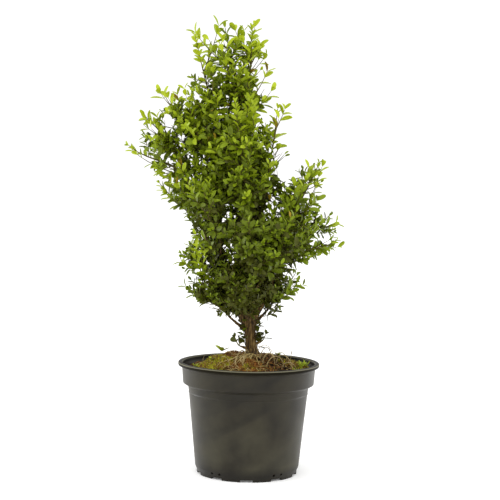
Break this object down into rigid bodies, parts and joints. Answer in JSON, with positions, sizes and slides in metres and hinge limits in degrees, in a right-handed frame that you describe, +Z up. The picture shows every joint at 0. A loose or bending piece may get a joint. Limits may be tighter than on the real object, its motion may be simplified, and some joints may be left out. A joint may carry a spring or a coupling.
{
  "type": "potted boxwood shrub",
  "caption": "Young upright boxwood shrub with a short trunk and an uneven leafy crown, growing in a round black plastic nursery pot filled with compost.",
  "frame": {"origin": "centre of the pot's underside, on the ground", "axes": "+Z up along the pot's axis; -Y towards the viewer of the picture, +X to their right"},
  "size_m": [0.3609, 0.2656, 0.7376],
  "materials": {
    "pot": "dark grey-black polypropylene, semi-matte and a little dusty",
    "compost": "moist brown fibrous compost",
    "moss": "low yellow-green moss",
    "bark": "brown fibrous bark with pale tan streaks",
    "foliage": "small leathery leaves, yellow-green at the tips and dark green inside"
  },
  "bodies": {
    "root": {"bough_back": "bark", "bough_back_left": "bark", "bough_back_low": "bark", "bough_back_right": "bark", "bough_back_upper": "bark", "bough_front": "bark", "bough_front_left": "bark", "bough_front_low": "bark", "bough_front_right": "bark", "bough_front_upper": "bark", "bough_inner": "bark", "bough_left": "bark", "bough_left_crest": "bark", "bough_low_left": "bark", "bough_mid_left": "bark", "bough_mid_right": "bark", "bough_right": "bark", "bough_right_crest": "bark", "bough_skirt_left": "bark", "bough_skirt_right": "bark", "bough_top_left": "bark", "bough_top_right": "bark", "bough_upper_left": "bark", "bough_upper_right": "bark", "compost": "compost", "moss_front": "moss", "moss_left": "moss", "moss_right": "moss", "plume_back": "foliage", "plume_back_left": "foliage", "plume_back_low": "foliage", "plume_back_right": "foliage", "plume_back_upper": "foliage", "plume_front": "foliage", "plume_front_left": "foliage", "plume_front_low": "foliage", "plume_front_right": "foliage", "plume_front_upper": "foliage", "plume_inner": "foliage", "plume_left": "foliage", "plume_left_crest": "foliage", "plume_low_left": "foliage", "plume_mid_left": "foliage", "plume_mid_right": "foliage", "plume_right": "foliage", "plume_right_crest": "foliage", "plume_skirt_left": "foliage", "plume_skirt_right": "foliage", "plume_top": "foliage", "plume_top_left": "foliage", "plume_top_right": "foliage", "plume_upper_left": "foliage", "plume_upper_right": "foliage", "pot": "pot", "shoot_left": "bark", "shoot_right": "bark", "sprig_left": "foliage", "sprig_right": "foliage", "trunk": "bark"}
  },
  "joints": []
}
